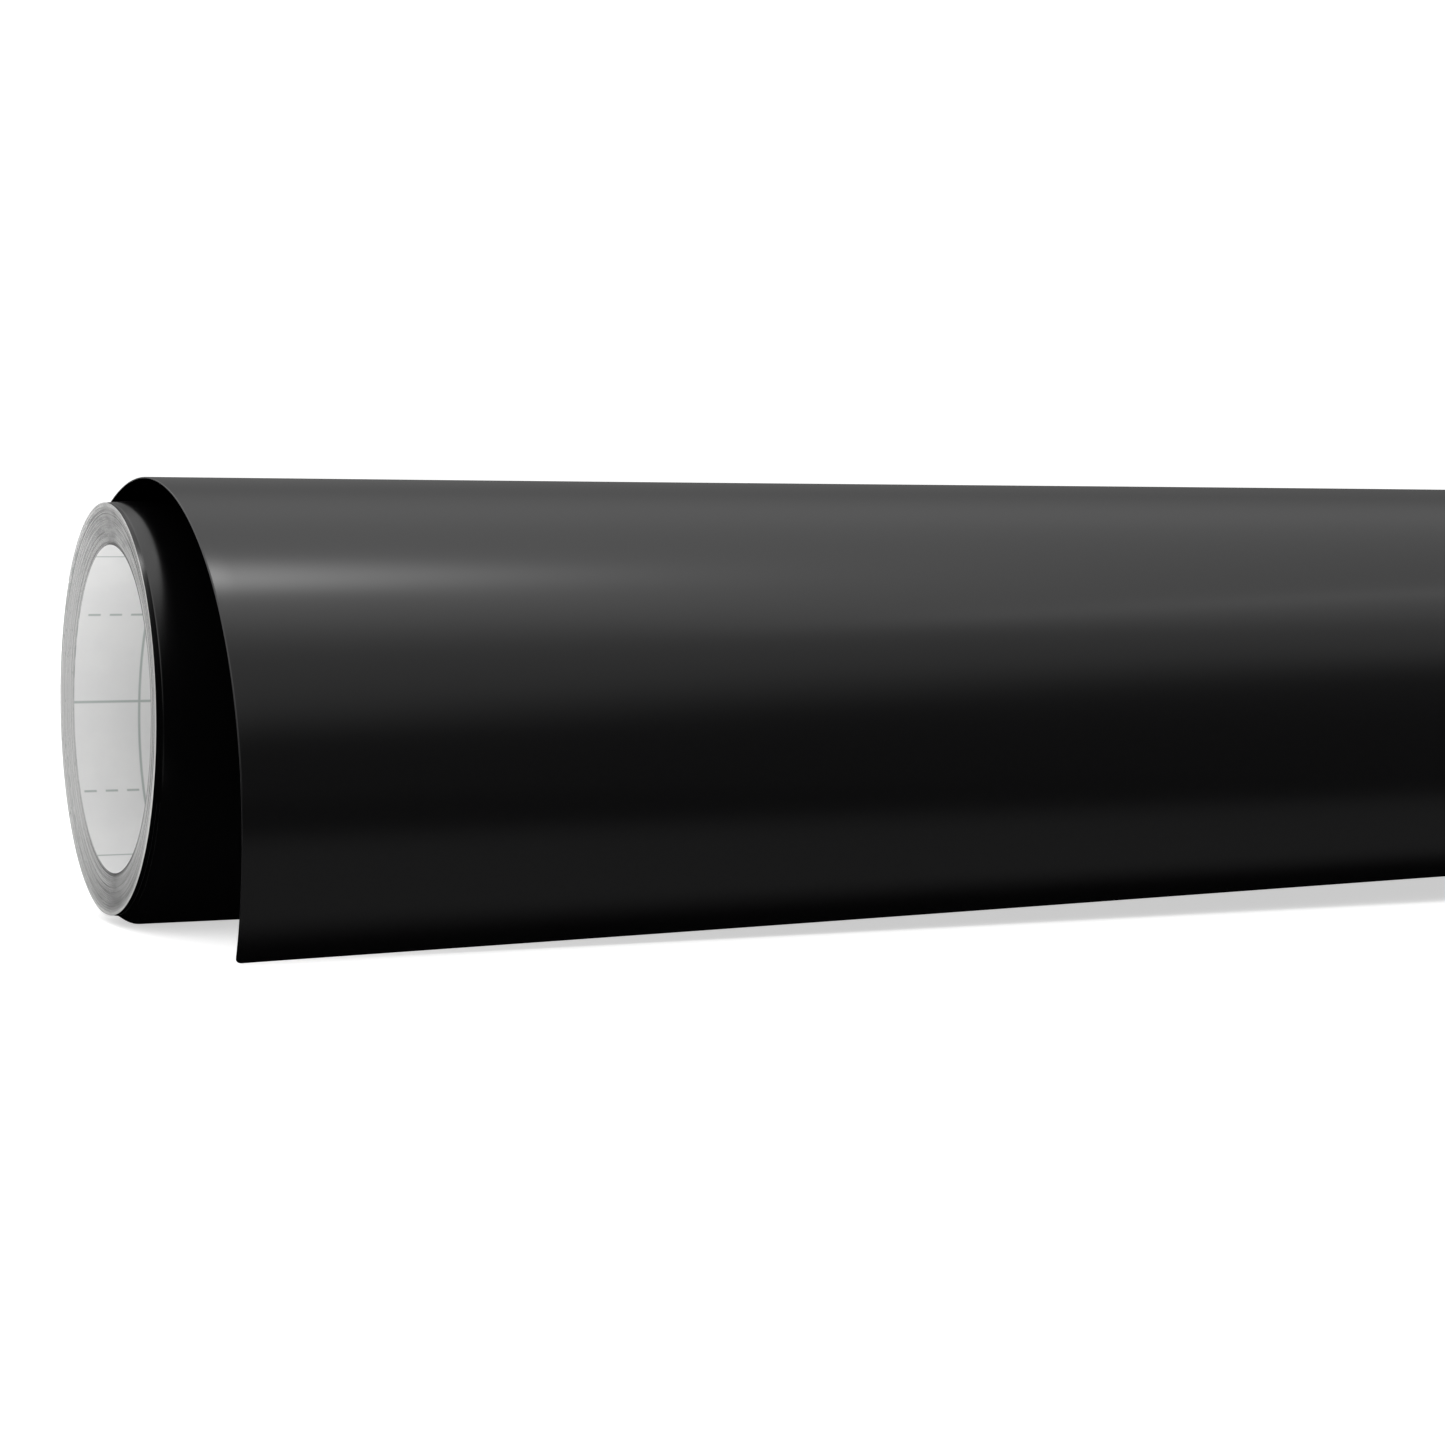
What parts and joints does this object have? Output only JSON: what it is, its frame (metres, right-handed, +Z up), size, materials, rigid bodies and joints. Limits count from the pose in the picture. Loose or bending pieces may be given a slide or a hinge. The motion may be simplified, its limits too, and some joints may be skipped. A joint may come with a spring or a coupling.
{
  "type": "roll of sign vinyl",
  "caption": "Coreless roll of black self-adhesive sign vinyl on printed release paper, with the last lap of film hanging loose in front.",
  "frame": {"origin": "on the bore's axis, half way along the web", "axes": "+X along the roll away from the near end, +Y to the back, away from the loose lap, +Z up"},
  "size_m": [0.6182, 0.1607, 0.1174],
  "materials": {
    "black_film": "gloss black cast film, lightly rippled",
    "wound_web": "cut ends of the wound film and paper, fine rings",
    "liner_paper": "cut end of release paper",
    "printed_liner": "smooth coated paper printed with a grey-green measuring grid"
  },
  "bodies": {
    "package": {"bore_liner_turn": "printed_liner", "wound_turns_1": "wound_web", "wound_turns_2": "wound_web", "wound_turns_3": "wound_web", "wound_turns_4": "wound_web", "wound_turns_5": "wound_web", "outer_liner_turn": "liner_paper", "outer_film_turns": "black_film"},
    "crown": {"lap_crown": "black_film"},
    "front": {"lap_front": "black_film"},
    "tail": {"lap_tail": "black_film"}
  },
  "joints": [
    {"name": "lap_lift", "type": "hinge", "parent": "package", "child": "crown", "pos_m": [0, 0.02716, 0.0484], "axis": [-1, 0, 0], "range_deg": [0, 40], "stiffness_Nm_per_rad": 0.5},
    {"name": "front_unbend", "type": "hinge", "parent": "crown", "child": "front", "pos_m": [0, -0.08248, 0.03406], "axis": [-1, 0, 0], "range_deg": [0, 32], "stiffness_Nm_per_rad": 0.3},
    {"name": "tail_flex", "type": "hinge", "parent": "front", "child": "tail", "pos_m": [0, -0.10489, -0.02003], "axis": [-1, 0, 0], "range_deg": [-15, 30], "stiffness_Nm_per_rad": 0.3}
  ],
  "couplings": [
    {"joint": "front_unbend", "follows": "lap_lift", "ratio": 0.8}
  ]
}
